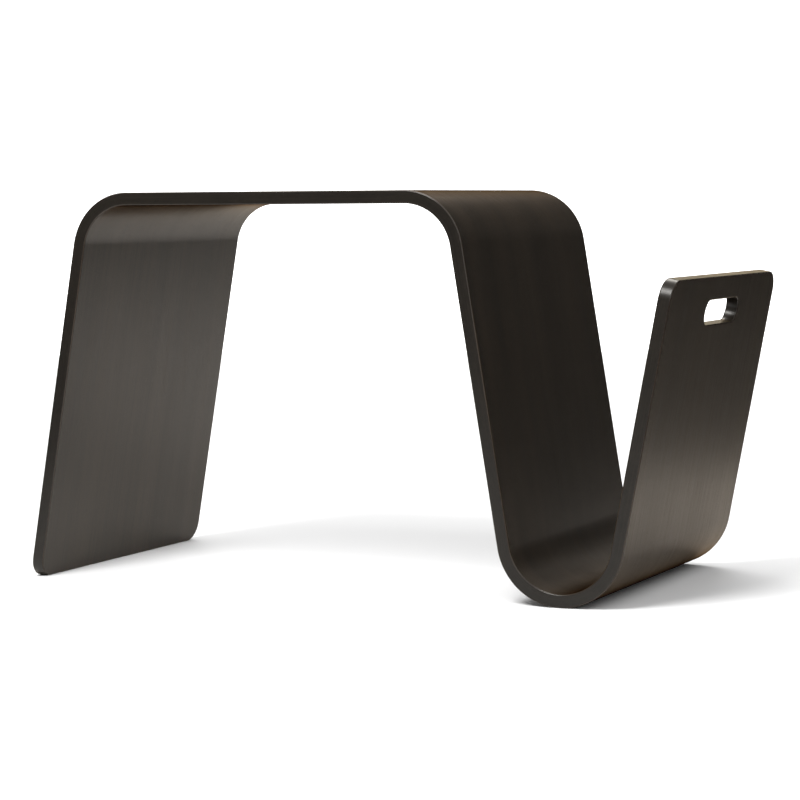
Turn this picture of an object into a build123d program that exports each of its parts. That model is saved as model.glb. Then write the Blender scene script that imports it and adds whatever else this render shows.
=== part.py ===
"""Low side table with a magazine pocket, moulded from one wide strip of plywood.

Seen from the front, the strip starts at the foot of the leg on the left, bends over into the table top, bends
down again, turns up in a U that rests on the floor and ends at the top of a panel with a hand slot. The space
between the falling and the rising panel is the magazine pocket.

The plywood is a stack of veneers, and each veneer is a solid of its own. Every boundary between two veneers is
the strip's middle line moved sideways, so its straight stretches stay parallel and its bends share their centres.

Millimetres. +X runs from the leg to the pocket, +Y to the back and +Z up. The origin is on the floor, under the
middle of the bounding box.
"""

import os
from math import cos, radians, sin

from build123d import *

# The strip's course, along its middle line. Leans are in degrees from upright.
HEIGHT = 419.0
WIDTH = 356.0
TOP_RUN = 325.0
RISING_RUN = 278.0
LEG_LEAN = 9.7
FALLING_LEAN = 9.3
RISING_LEAN = 11.0
TOP_BEND_RADIUS = 58.5
POCKET_BEND_RADIUS = 61.5

# The stack of veneers, from the table-top side to the underside.
FACE_VENEER = 0.55
CORE_VENEER = 1.4
CORE_PLIES = 9
THICKNESS = 2 * FACE_VENEER + CORE_PLIES * CORE_VENEER

# Trimming of the moulded strip.
CORNER_RADIUS = 22.0
ARRIS_RADIUS = 1.6
SLOT_LENGTH = 112.0
SLOT_HEIGHT = 26.0
SLOT_BELOW_END = 37.5


def direction(degrees_from_x):
    """Unit vector in the section plane, at this angle from +X towards +Z."""
    angle = radians(degrees_from_x)
    return Vector(cos(angle), sin(angle))


# Directions square to the leaning panels, from their underside towards their table-top side.
LEG_NORMAL = direction(180 - LEG_LEAN)
FALLING_NORMAL = direction(FALLING_LEAN)
RISING_NORMAL = direction(180 - RISING_LEAN)

# Centres of the three bends, with the first one at X = 0.
LEG_BEND = Vector(0, HEIGHT - THICKNESS / 2 - TOP_BEND_RADIUS)
FALLING_BEND = LEG_BEND + Vector(TOP_RUN, 0)


def pocket_bend_centre():
    """Centre of the U: beside the falling panel, at the height that puts the U's outside on the floor."""
    beside = FALLING_BEND + FALLING_NORMAL * (TOP_BEND_RADIUS + POCKET_BEND_RADIUS)
    downwards = direction(FALLING_LEAN - 90)
    drop = beside.Y - (POCKET_BEND_RADIUS + THICKNESS / 2)
    return beside + downwards * (drop / cos(radians(FALLING_LEAN)))


POCKET_BEND = pocket_bend_centre()


def course(offset):
    """Lines and arcs of the strip's section, from foot to free end, this far from its middle line.

    The offset is positive towards the table-top side.
    """
    top_radius = TOP_BEND_RADIUS + offset
    pocket_radius = POCKET_BEND_RADIUS - offset

    leg_top = LEG_BEND + LEG_NORMAL * top_radius
    foot = leg_top + direction(-90 - LEG_LEAN) * (leg_top.Y / cos(radians(LEG_LEAN)))
    leg = Line(foot, leg_top)
    leg_arc = CenterArc(LEG_BEND, top_radius, 180 - LEG_LEAN, LEG_LEAN - 90)
    table_top = Line(leg_arc @ 1, FALLING_BEND + Vector(0, top_radius))
    falling_arc = CenterArc(FALLING_BEND, top_radius, 90, FALLING_LEAN - 90)
    falling = Line(falling_arc @ 1, POCKET_BEND - FALLING_NORMAL * pocket_radius)
    turn = 180 - FALLING_LEAN - RISING_LEAN
    pocket_arc = CenterArc(POCKET_BEND, pocket_radius, 180 + FALLING_LEAN, turn)
    rising = Line(pocket_arc @ 1, pocket_arc @ 1 + direction(90 - RISING_LEAN) * RISING_RUN)
    return [leg, leg_arc, table_top, falling_arc, falling, pocket_arc, rising]


def layer(low, high, width):
    """Solid between two offsets from the middle line, this wide and centred on Y = 0."""
    under = course(low)
    over = course(high)
    foot_end = Line(under[0] @ 0, over[0] @ 0)
    free_end = Line(under[-1] @ 1, over[-1] @ 1)
    section = Plane.XZ * make_face([*under, free_end, *over, foot_end])
    return extrude(section, width / 2, both=True)


def hand_slot():
    """Cutter for the slot with round ends, square through the rising panel."""
    free_end = course(0)[-1] @ 1
    centre = free_end - direction(90 - RISING_LEAN) * SLOT_BELOW_END
    normal = Vector(RISING_NORMAL.X, 0, RISING_NORMAL.Y)
    panel = Plane(origin=(centre.X, 0, centre.Y), x_dir=(0, 1, 0), z_dir=normal)
    return extrude(panel * SlotOverall(SLOT_LENGTH, SLOT_HEIGHT), THICKNESS, both=True)


def crosses_thickness(edge):
    """True for the short edges that run from one broad side of the strip to the other."""
    return edge.length < 1.1 * THICKNESS


def spans_width(edge):
    """True for the lines where a flat stretch meets a bend."""
    return abs(edge.length - WIDTH) < ARRIS_RADIUS and abs(edge.tangent_at(0.5).Y) > 0.99


def trimmed_strip():
    """The whole strip with round corners at both ends, the hand slot and softened arrises."""
    strip = layer(-THICKNESS / 2, THICKNESS / 2, WIDTH)
    strip = fillet(strip.edges().filter_by(crosses_thickness), CORNER_RADIUS)
    strip -= hand_slot()
    arrises = strip.edges().filter_by(lambda edge: not crosses_thickness(edge) and not spans_width(edge))
    return fillet(arrises, ARRIS_RADIUS)


def veneers():
    """Name and thickness of each veneer, from the table-top side to the underside."""
    yield "face_veneer_top", FACE_VENEER
    for number in range(1, CORE_PLIES + 1):
        yield f"core_ply_{number}", CORE_VENEER
    yield "face_veneer_under", FACE_VENEER


def main():
    os.makedirs("parts", exist_ok=True)
    strip = trimmed_strip()
    to_origin = Pos(X=-strip.bounding_box().center().X)
    high = THICKNESS / 2
    for name, thickness in veneers():
        low = high - thickness
        # The layer is cut a little wider than the strip, so that only the strip's own rim bounds it.
        ply = strip & layer(low, high, WIDTH + THICKNESS)
        export_step(to_origin * ply, f"parts/{name}.step")
        high = low


main()
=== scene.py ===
"""Finish, light and camera for the moulded-plywood side table with a magazine pocket.

Each veneer of the CAD model is replaced by a finely divided mesh of the same shape. It is drawn as a flat
board and laid along the course that the strip was bent to, so the wood's grain is worked out on the flat
board and follows the bends. Metres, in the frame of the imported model: +X from the leg to the pocket, +Y to
the back, +Z up.
"""
from math import acos, ceil, cos, pi, radians, sin, tan

import bmesh
import bpy
from mathutils import Matrix, Vector


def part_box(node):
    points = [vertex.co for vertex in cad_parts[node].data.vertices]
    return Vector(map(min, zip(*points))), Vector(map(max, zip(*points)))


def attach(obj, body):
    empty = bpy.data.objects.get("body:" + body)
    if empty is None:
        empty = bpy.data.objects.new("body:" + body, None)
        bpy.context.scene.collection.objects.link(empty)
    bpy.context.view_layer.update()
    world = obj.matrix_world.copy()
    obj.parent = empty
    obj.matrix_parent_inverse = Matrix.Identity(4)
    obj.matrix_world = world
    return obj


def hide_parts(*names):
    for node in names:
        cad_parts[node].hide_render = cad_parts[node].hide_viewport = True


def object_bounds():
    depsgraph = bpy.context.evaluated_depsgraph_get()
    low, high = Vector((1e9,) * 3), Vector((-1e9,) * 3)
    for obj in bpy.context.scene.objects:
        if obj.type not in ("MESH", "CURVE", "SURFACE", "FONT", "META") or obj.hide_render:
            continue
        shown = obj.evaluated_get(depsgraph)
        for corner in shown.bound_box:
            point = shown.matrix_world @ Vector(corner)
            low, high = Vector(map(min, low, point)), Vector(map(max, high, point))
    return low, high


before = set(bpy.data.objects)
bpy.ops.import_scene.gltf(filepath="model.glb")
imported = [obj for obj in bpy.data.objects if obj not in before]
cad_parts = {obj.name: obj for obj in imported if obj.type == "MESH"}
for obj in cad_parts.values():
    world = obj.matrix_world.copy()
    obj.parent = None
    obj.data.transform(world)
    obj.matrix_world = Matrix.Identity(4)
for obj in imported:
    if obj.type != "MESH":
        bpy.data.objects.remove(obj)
CAD_LOW, CAD_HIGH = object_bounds()

# The strip's course along its middle line, as in the CAD model.
TOP_RUN = 0.325
RISING_RUN = 0.278
LEG_LEAN = radians(9.7)
FALLING_LEAN = radians(9.3)
RISING_LEAN = radians(11.0)
TOP_BEND_RADIUS = 0.0585
POCKET_BEND_RADIUS = 0.0615

# Trimming of the strip, as in the CAD model.
CORNER_RADIUS = 0.022
ARRIS_RADIUS = 0.0016
SLOT_LENGTH = 0.112
SLOT_HEIGHT = 0.026
SLOT_BELOW_END = 0.0375

# Fineness of the meshes.
BEND_STEP = radians(2.5)
CORNER_STEPS = 12
SLOT_STEPS = 14
ARRIS_STEPS = 5

# Sizes that the frame holds.
VENEERS = ["face_veneer_top", *[f"core_ply_{number}" for number in range(1, 10)], "face_veneer_under"]
HEIGHT = CAD_HIGH.z
WIDTH = CAD_HIGH.y - CAD_LOW.y


def veneer_depths():
    """Depth of each boundary between veneers, from the table-top side down."""
    tops = [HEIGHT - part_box(name)[1].z for name in VENEERS]
    face_veneer = tops[1] - tops[0]
    return [*tops, tops[-1] + face_veneer]


DEPTHS = veneer_depths()
THICKNESS = DEPTHS[-1]


# ---------------------------------------------------------------- the course of the strip

def stretches():
    """(length, turn) of each stretch of the middle line, from the foot to the free end."""
    bend_height = HEIGHT - THICKNESS / 2 - TOP_BEND_RADIUS
    leg = (bend_height + TOP_BEND_RADIUS * sin(LEG_LEAN)) / cos(LEG_LEAN)
    falling_top = bend_height + TOP_BEND_RADIUS * sin(FALLING_LEAN)
    falling_end = THICKNESS / 2 + POCKET_BEND_RADIUS * (1 - sin(FALLING_LEAN))
    falling = (falling_top - falling_end) / cos(FALLING_LEAN)
    leg_turn = pi / 2 - LEG_LEAN
    falling_turn = pi / 2 - FALLING_LEAN
    pocket_turn = pi - FALLING_LEAN - RISING_LEAN
    return [
        (leg, 0),
        (TOP_BEND_RADIUS * leg_turn, -leg_turn),
        (TOP_RUN, 0),
        (TOP_BEND_RADIUS * falling_turn, -falling_turn),
        (falling, 0),
        (POCKET_BEND_RADIUS * pocket_turn, pocket_turn),
        (RISING_RUN, 0),
    ]


STRETCHES = stretches()
LENGTH = sum(length for length, turn in STRETCHES)


def foot_on_middle_line():
    """The foot's place on the floor: the middle veneer starts half its thickness further out."""
    middle = len(VENEERS) // 2
    half_veneer = (DEPTHS[middle + 1] - DEPTHS[middle]) / 2
    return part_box(VENEERS[middle])[0].x + half_veneer / cos(LEG_LEAN)


FOOT_X = foot_on_middle_line()


def along(distance):
    """Place (x, z) and heading of the middle line, this far from the foot."""
    x, z, heading = FOOT_X, 0.0, pi / 2 - LEG_LEAN
    for number, (length, turn) in enumerate(STRETCHES):
        last = number == len(STRETCHES) - 1
        part = distance if last else min(distance, length)
        swing = turn * part / length
        chord = part if turn == 0 else 2 * length / turn * sin(swing / 2)
        x += chord * cos(heading + swing / 2)
        z += chord * sin(heading + swing / 2)
        heading += swing
        distance -= part
        if distance <= 0 and not last:
            break
    return x, z, heading


def place(distance, across, depth):
    """Point of the bent strip for a point of the flat board, and the direction square to its broad side.

    The foot is cut level with the floor, so the board's end is cut on a slant that fades out up the leg.
    """
    offset = THICKNESS / 2 - depth
    fade = max(0.0, 1 - distance / (3 * CORNER_RADIUS))
    x, z, heading = along(distance - offset * tan(LEG_LEAN) * fade)
    square = Vector((-sin(heading), 0, cos(heading)))
    return Vector((x, across, z)) + square * offset, square


# ---------------------------------------------------------------- the flat board

def bend_rows():
    """Distances from the foot at which the board is divided across: the ends and the steps of each bend."""
    rows = []
    start = 0.0
    for length, turn in STRETCHES[:-1]:
        steps = max(1, ceil(abs(turn) / BEND_STEP))
        rows += [start + length * step / steps for step in range(steps)]
        start += length
    return [*rows[1:], start]


ROWS = bend_rows()


def arc(centre, radius, start, end, steps):
    """Points of an arc on the board, both ends included. Angles are from the board's length, in degrees."""
    angles = [radians(start + (end - start) * step / steps) for step in range(steps + 1)]
    return [(centre[0] + radius * cos(angle), centre[1] + radius * sin(angle)) for angle in angles]


def outer_loop(inset):
    """The board's rim, drawn in by the inset, from the middle of the foot over the back to the front."""
    near, far = CORNER_RADIUS, LENGTH - CORNER_RADIUS
    side = WIDTH / 2 - CORNER_RADIUS
    radius = CORNER_RADIUS - inset
    half = [
        (inset, 0.0),
        *arc((near, side), radius, 180, 90, CORNER_STEPS),
        *[(row, WIDTH / 2 - inset) for row in ROWS],
        *arc((far, side), radius, 90, 0, CORNER_STEPS),
        (LENGTH - inset, 0.0),
    ]
    return half + [(distance, -across) for distance, across in half[-2:0:-1]]


def slot_loop(inset):
    """The hand slot's rim, widened by the inset, from its lower middle over the back to the front."""
    centre = LENGTH - SLOT_BELOW_END
    radius = SLOT_HEIGHT / 2 + inset
    end = (SLOT_LENGTH - SLOT_HEIGHT) / 2
    half = [
        (centre - radius, 0.0),
        *arc((centre, end), radius, 180, 0, SLOT_STEPS),
        (centre + radius, 0.0),
    ]
    return half + [(distance, -across) for distance, across in half[-2:0:-1]]


def rim_profile(depth):
    """(inset, tilt) of the rim at this depth. The tilt is the rim's turn away from the table-top side."""
    from_face = max(0.0, min(depth, THICKNESS - depth))
    if from_face >= ARRIS_RADIUS:
        return 0.0, pi / 2
    tilt = acos(1 - from_face / ARRIS_RADIUS)
    inset = ARRIS_RADIUS * (1 - sin(tilt))
    return inset, tilt if depth < THICKNESS / 2 else pi - tilt


def rim_levels(low, high):
    """Depths at which a veneer's rim is divided: its two faces and the steps of the arris between them."""
    steps = [ARRIS_RADIUS * (1 - cos(pi / 2 * step / ARRIS_STEPS)) for step in range(1, ARRIS_STEPS + 1)]
    inner = [depth for depth in [*steps, *[THICKNESS - depth for depth in steps]] if low < depth < high]
    return [low, *sorted(inner), high]


# ---------------------------------------------------------------- meshes of the veneers

class Board:
    """The points and faces of one veneer, with what its material and its shading need at each point."""

    def __init__(self, low, high):
        self.points = []
        self.squares = []
        self.directions = []
        self.flat = []
        self.arris = []
        self.faces = []
        self.cap_faces = []
        depths = rim_levels(low, high)
        rims = [self.add_loop(outer_loop, depth, 1) for depth in depths]
        slots = [self.add_loop(slot_loop, depth, -1) for depth in depths]
        for loops in (rims, slots):
            for upper, lower in zip(loops, loops[1:]):
                self.add_band(upper, lower)
        self.add_cap(rims[0], slots[0])
        self.add_cap(rims[-1], slots[-1])

    def add_loop(self, loop_at, depth, outwards):
        """Adds a rim loop at this depth and returns the numbers of its points.

        outwards is 1 for the board's own rim, and -1 for the slot's, whose outside is the hole.
        """
        first = len(self.points)
        inset, tilt = rim_profile(depth)
        loop = loop_at(inset)
        for number, (distance, across) in enumerate(loop):
            before = place(*loop[number - 1], depth)[0]
            after = place(*loop[(number + 1) % len(loop)], depth)[0]
            point, square = place(distance, across, depth)
            through = place(distance, across, depth + ARRIS_RADIUS)[0] - point
            rim = (after - before).cross(through).normalized() * outwards
            self.points.append(point)
            self.squares.append(square)
            self.directions.append((square * cos(tilt) + rim * sin(tilt)).normalized())
            self.flat.append((distance, across, depth))
            self.arris.append(1 - abs(cos(2 * tilt)))
        return range(first, len(self.points))

    def add_band(self, upper, lower):
        """Joins two loops, one under the other, with four-sided faces."""
        for number in range(len(upper)):
            after = (number + 1) % len(upper)
            self.faces.append([upper[number], lower[number], lower[after], upper[after]])

    def add_cap(self, rim, slot):
        """Closes a broad side: one face from row to row, and two faces round the slot."""
        back, front = halves(rim)
        slot_back, slot_front = halves(slot)
        first = CORNER_STEPS + 2
        last = first + len(ROWS) - 1
        caps = [back[:first + 1] + front[first:0:-1]]
        for number in range(first, last):
            caps.append([back[number], back[number + 1], front[number + 1], front[number]])
        caps.append([front[last], *back[last:], *slot_back[::-1]])
        caps.append([*front[:last - 1:-1], *slot_front])
        self.cap_faces += range(len(self.faces), len(self.faces) + len(caps))
        self.faces += caps


def halves(loop):
    """The back and the front half of a loop, each from its first to its middle point."""
    middle = len(loop) // 2
    return list(loop[:middle + 1]), [loop[0], *reversed(loop[middle:])]


def veneer(name, low, high, material):
    """The bent mesh of one veneer, standing for its CAD node."""
    board = Board(low, high)
    mesh = bpy.data.meshes.new(name)
    mesh.from_pydata(board.points, [], board.faces)
    face_outwards(mesh)
    add_attribute(mesh, "board", "FLOAT_VECTOR", "vector", board.flat)
    add_attribute(mesh, "arris", "FLOAT", "value", board.arris)
    shade_as_bent(mesh, board)
    mesh.materials.append(material)
    piece = bpy.data.objects.new(f"finished_{name}", mesh)
    bpy.context.scene.collection.objects.link(piece)
    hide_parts(name)
    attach(piece, "root")


def face_outwards(mesh):
    """Turns every face of a closed mesh to point out of it."""
    work = bmesh.new()
    work.from_mesh(mesh)
    bmesh.ops.recalc_face_normals(work, faces=work.faces)
    work.to_mesh(mesh)
    work.free()


def add_attribute(mesh, name, kind, field, values):
    """Stores one value for each point of the mesh, for the materials to read."""
    layer = mesh.attributes.new(name, kind, "POINT")
    for item, value in zip(layer.data, values):
        setattr(item, field, value)


def shade_as_bent(mesh, board):
    """Shades the mesh by the exact directions of the bent strip, so its bends and arrises look smooth."""
    caps = set(board.cap_faces)
    normals = [None] * len(mesh.loops)
    for polygon in mesh.polygons:
        polygon.use_smooth = True
        for loop in polygon.loop_indices:
            point = mesh.loops[loop].vertex_index
            direction = board.directions[point]
            if polygon.index in caps:
                direction = board.squares[point]
                if polygon.normal.dot(direction) < 0:
                    direction = -direction
            normals[loop] = direction
    mesh.normals_split_custom_set(normals)


# ---------------------------------------------------------------- materials

class Nodes:
    """Short calls for building a material's or the world's nodes."""

    def __init__(self, tree):
        self.tree = tree
        tree.nodes.clear()

    def add(self, kind, inputs=None, **settings):
        """Adds a node. An input is a value, or the output socket of another node."""
        node = self.tree.nodes.new(kind)
        for name, value in settings.items():
            setattr(node, name, value)
        for name, value in (inputs or {}).items():
            if isinstance(value, bpy.types.NodeSocket):
                self.tree.links.new(value, node.inputs[name])
            else:
                node.inputs[name].default_value = value
        return node

    def math(self, operation, first, second):
        """The result of an operation on two numbers."""
        return self.add("ShaderNodeMath", {0: first, 1: second}, operation=operation).outputs[0]

    def noise(self, vector, scale, detail, roughness):
        """Smooth noise between 0 and 1, with its own scale along each axis of the vector."""
        stretched = self.add("ShaderNodeVectorMath", {0: vector, 1: scale}, operation="MULTIPLY")
        inputs = {"Vector": stretched.outputs[0], "Scale": 1.0, "Detail": detail, "Roughness": roughness}
        return self.add("ShaderNodeTexNoise", inputs, noise_dimensions="3D").outputs["Fac"]

    def between(self, value, low, high, to_low=0.0, to_high=1.0):
        """Maps the span from low to high onto another span, smoothly, and holds it beyond."""
        inputs = {"Value": value, "From Min": low, "From Max": high, "To Min": to_low, "To Max": to_high}
        node = self.add("ShaderNodeMapRange", inputs, interpolation_type="SMOOTHSTEP")
        return node.outputs["Result"]

    def mix(self, share, first, second):
        """A colour between two colours. Sockets of this node share names, so they are given by number."""
        return self.add("ShaderNodeMix", {0: share, 6: first, 7: second}, data_type="RGBA").outputs[2]


# Colours of the stain: the wood's dark and light streaks, its pores and its paler arrises, whose colour is
# partly worn stain and partly a painted highlight along every arris.
DARK_STAIN = (0.0070, 0.0056, 0.0042)
LIGHT_STAIN = (0.0250, 0.0200, 0.0152)
PORE_STAIN = (0.0030, 0.0022, 0.0016)
WORN_AND_HIGHLIGHT_STAIN = (0.0560, 0.0400, 0.0280)

# Fineness of the wood's figure: waves per metre along the grain and across it.
BANDS = (1.6, 34)
STREAKS = (7.0, 420)
PORES = (55, 2400)
WEAR_AND_HIGHLIGHT_PATCHES = (9, 9)

# How the figure acts on the tone, the roughness and the relief. The pores' depth is in metres.
TONE_SPREAD = 0.08
STREAK_SHARE = 0.65
STREAK_RELIEF = 0.35
PORE_DARKNESS = 0.8
PORE_ROUGHNESS = 0.12
PORE_DEPTH = 0.00012
ARRIS_POLISH = 0.12
RELIEF_STRENGTH = 0.25

# The finish of the broad sides and of the edges: how strongly the grain shows, the lacquer's roughness and
# refraction, and the tint of its toner, which colours the light from the wood, most of all at flat angles.
BROAD_SIDE = {"figure": 0.8, "lacquer": 0.33, "ior": 1.45, "toner": (0.925, 0.893, 0.855, 1)}
EDGE = {"figure": 0.3, "lacquer": 0.30, "ior": 1.36, "toner": (0.99, 0.975, 0.945, 1)}


def new_material(name):
    """An empty material and the short calls for its nodes."""
    material = bpy.data.materials.new(name)
    material.use_nodes = True
    return material, Nodes(material.node_tree)


def opaque(colour, brightness=1.0):
    """The colour with full alpha, as the shaders take it, made darker or paler by the brightness."""
    return [*(brightness * part for part in colour), 1]


def stained_wood(name, along_board, brightness, figure, lacquer, ior, toner):
    """Stained and lacquered veneer, drawn on the flat board.

    along_board is True where the grain runs along the strip. brightness is how pale the stain looks, against
    the broad sides' 1. The rest describes the finish, as in BROAD_SIDE and EDGE.
    """
    material, nodes = new_material(name)
    board = nodes.add("ShaderNodeAttribute", attribute_name="board").outputs["Vector"]
    arris = nodes.add("ShaderNodeAttribute", attribute_name="arris").outputs["Fac"]

    def figured(fineness, detail, roughness=0.55):
        """Noise that is drawn out along the grain."""
        length, width = fineness
        scale = (length, width, width) if along_board else (width, length, width)
        return nodes.noise(board, scale, detail, roughness)

    # The pores are the peaks of their noise. The arrises are paler in some patches than in others: partly
    # worn stain, partly a painted highlight.
    bands = figured(BANDS, detail=3.0)
    streaks = figured(STREAKS, detail=5.0, roughness=0.65)
    pores = nodes.between(figured(PORES, detail=2.0), 0.56, 0.70)
    wear_and_highlight_patches = nodes.between(figured(WEAR_AND_HIGHLIGHT_PATCHES, detail=2.0), 0.35, 0.7, 0.25, 0.8)

    streak_tone = nodes.math("MULTIPLY", streaks, STREAK_SHARE)
    band_tone = nodes.math("MULTIPLY", bands, 1 - STREAK_SHARE)
    tone = nodes.math("ADD", streak_tone, band_tone)
    spread = TONE_SPREAD / figure
    paleness = nodes.between(tone, 0.5 - spread, 0.5 + spread)
    colour = nodes.mix(paleness, opaque(DARK_STAIN, brightness), opaque(LIGHT_STAIN, brightness))
    colour = nodes.mix(nodes.math("MULTIPLY", pores, PORE_DARKNESS), colour, opaque(PORE_STAIN))
    # Paler colour on the arrises: worn stain, and also a painted highlight along every arris.
    colour = nodes.mix(nodes.math("MULTIPLY", arris, wear_and_highlight_patches), colour, opaque(WORN_AND_HIGHLIGHT_STAIN))

    rough = nodes.between(streaks, 0.3, 0.7, lacquer - 0.06 * figure, lacquer + 0.07 * figure)
    rough = nodes.math("ADD", rough, nodes.math("MULTIPLY", pores, PORE_ROUGHNESS * figure))
    rough = nodes.math("SUBTRACT", rough, nodes.math("MULTIPLY", arris, ARRIS_POLISH))

    height = nodes.math("SUBTRACT", nodes.math("MULTIPLY", streaks, STREAK_RELIEF), pores)
    relief = {"Strength": RELIEF_STRENGTH * figure, "Distance": PORE_DEPTH, "Height": height}
    bump = nodes.add("ShaderNodeBump", relief)

    # The coat bends no light, so it mirrors nothing and only tints the wood. Its roughness makes no
    # difference here, but keeps the exported model's coat satin.
    shader = nodes.add("ShaderNodeBsdfPrincipled", {
        "Base Color": colour,
        "Roughness": rough,
        "Normal": bump.outputs[0],
        "IOR": ior,
        "Coat Weight": 1.0,
        "Coat IOR": 1.0,
        "Coat Roughness": lacquer,
        "Coat Tint": toner,
    })
    nodes.add("ShaderNodeOutputMaterial", {"Surface": shader.outputs[0]})
    return material


# ---------------------------------------------------------------- studio

# The camera stands where the photograph's did, as solved on the object's outline.
CAMERA_PLACE = Vector((1.182, -2.633, 0.4077))
CAMERA_YAW = radians(24.24)
CAMERA_PITCH = radians(4.305)
CAMERA_ROLL = radians(-0.437)
CAMERA_LENS = 118.9

# The paper floor's edges: distances to the right of the view's axis, and along it beyond the object.
PAPER_LEFT = [(-1.0, -1.3), (-1.7, 4.2)]
PAPER_RIGHT = [(0.30, -1.3), (0.66, 0.3), (0.84, 0.8), (1.4, 1.9), (2.2, 4.2)]
BACKDROP_HEIGHT = 1.15
BACKDROP_GLOW = 1.2
PAPER = (0.86, 0.86, 0.86)

# The studio's own floor, a little under the paper.
STUDIO_REACH = 7
STUDIO_FLOOR_LEVEL = -0.002
STUDIO_FLOOR = (0.09, 0.09, 0.09)

# Strength of the light from all round.
GLOW_IN_FRONT = 0.35
GLOW_BEHIND = 0.08
GLOW_OVERHEAD = 0.7

VIEW_AXIS = Vector((-sin(CAMERA_YAW), cos(CAMERA_YAW), 0))
VIEW_SIDE = Vector((cos(CAMERA_YAW), sin(CAMERA_YAW), 0))


def add_camera():
    """The camera, with its pitch downwards and its roll round the view's axis."""
    data = bpy.data.cameras.new("camera")
    data.lens = CAMERA_LENS
    data.sensor_width = 36
    data.clip_end = 100
    camera = bpy.data.objects.new("camera", data)
    turn = Matrix.Rotation(CAMERA_YAW, 4, "Z") @ Matrix.Rotation(pi / 2 - CAMERA_PITCH, 4, "X")
    camera.matrix_world = Matrix.Translation(CAMERA_PLACE) @ turn @ Matrix.Rotation(CAMERA_ROLL, 4, "Z")
    bpy.context.scene.collection.objects.link(camera)
    bpy.context.scene.camera = camera


def add_softbox(name, place_at, aim_at, size, power):
    """A square light that faces a point. Its power is in watts."""
    data = bpy.data.lights.new(name, "AREA")
    data.shape = "SQUARE"
    data.size = size
    data.energy = power
    light = bpy.data.objects.new(name, data)
    light.location = place_at
    light.rotation_euler = (Vector(aim_at) - Vector(place_at)).to_track_quat("-Z", "Y").to_euler()
    bpy.context.scene.collection.objects.link(light)


def add_stage_plane(name, corners, material):
    """A flat piece of the studio, which isn't part of the object."""
    mesh = bpy.data.meshes.new(name)
    mesh.from_pydata(corners, [], [range(len(corners))])
    mesh.materials.append(material)
    plane = bpy.data.objects.new(name, mesh)
    bpy.context.scene.collection.objects.link(plane)


def plain_material(name, colour, glow=0.0):
    """A plain matt surface. The glow makes it a lit background."""
    material, nodes = new_material(name)
    shader = nodes.add("ShaderNodeBsdfPrincipled", {
        "Base Color": opaque(colour),
        "Roughness": 0.9,
        "Specular IOR Level": 0.0,
        "Emission Color": opaque(colour),
        "Emission Strength": glow,
    })
    nodes.add("ShaderNodeOutputMaterial", {"Surface": shader.outputs[0]})
    return material


def in_view(across, away, height=0.0):
    """The point this far right of the view's axis, this far along it beyond the object and this high."""
    return VIEW_SIDE * across + VIEW_AXIS * away + Vector((0, 0, height))


def add_sweep():
    """The studio floor, the sheet of white paper on it and the lit background that the paper runs up to.

    The paper widens away from the camera.
    """
    signs = ((-1, -1), (1, -1), (1, 1), (-1, 1))
    around = [(STUDIO_REACH * x, STUDIO_REACH * y, STUDIO_FLOOR_LEVEL) for x, y in signs]
    add_stage_plane("studio_floor", around, plain_material("dark_floor", STUDIO_FLOOR))

    left_edge = [in_view(across, away) for across, away in PAPER_LEFT]
    right_edge = [in_view(across, away) for across, away in PAPER_RIGHT]
    add_stage_plane("floor", [*right_edge, *left_edge[::-1]], plain_material("paper", PAPER))

    far_left, far_right, up = left_edge[-1], right_edge[-1], Vector((0, 0, BACKDROP_HEIGHT))
    backdrop = [far_left, far_right, far_right + up, far_left + up]
    add_stage_plane("backdrop", backdrop, plain_material("lit_paper", PAPER, glow=BACKDROP_GLOW))


def add_world():
    """Soft light from all round: stronger from the front than from the back, and strongest from above."""
    world = bpy.data.worlds.new("world")
    bpy.context.scene.world = world
    world.use_nodes = True
    nodes = Nodes(world.node_tree)
    direction = nodes.add("ShaderNodeTexCoord").outputs["Generated"]
    towards = nodes.add("ShaderNodeSeparateXYZ", {"Vector": direction})
    sides = nodes.between(towards.outputs["Y"], -0.8, 0.8, GLOW_IN_FRONT, GLOW_BEHIND)
    ceiling = nodes.between(towards.outputs["Z"], 0.3, 0.9, 0.0, GLOW_OVERHEAD)
    strength = nodes.math("ADD", sides, ceiling)
    glow = nodes.add("ShaderNodeBackground", {"Color": (1, 1, 1, 1), "Strength": strength})
    nodes.add("ShaderNodeOutputWorld", {"Surface": glow.outputs[0]})


def add_studio():
    """The floor and the lights.

    The key light stands in front on the left. The front light fills the side that the key leaves dark, and
    the back light falls on the far end of the paper.
    """
    add_sweep()
    add_softbox("key", in_view(-0.7, -1.2, 1.9), in_view(0, 0), size=0.8, power=48)
    add_softbox("front", in_view(0.5, -2.2, 1.2), in_view(0, 0), size=1.6, power=20)
    add_softbox("back", in_view(0.4, 2.4, 2.9), in_view(0.4, 2.0), size=2.0, power=80)
    add_world()
    bpy.context.scene.view_settings.view_transform = "Standard"


# ---------------------------------------------------------------- the whole scene

def add_veneers():
    """Face veneers have long grain. The core's plies lie crosswise and lengthwise in turn."""
    face = stained_wood("face_veneer", along_board=True, brightness=1, **BROAD_SIDE)
    crosswise = stained_wood("core_veneer_crosswise", along_board=False, brightness=0.58, **EDGE)
    lengthwise = stained_wood("core_veneer_lengthwise", along_board=True, brightness=0.62, **EDGE)
    for number, name in enumerate(VENEERS):
        if name.startswith("face"):
            material, slot = face, "face_veneer"
        else:
            material, slot = (crosswise, lengthwise)[(number + 1) % 2], "core_veneer"
        veneer(name, DEPTHS[number], DEPTHS[number + 1], material)


add_veneers()
add_studio()
add_camera()
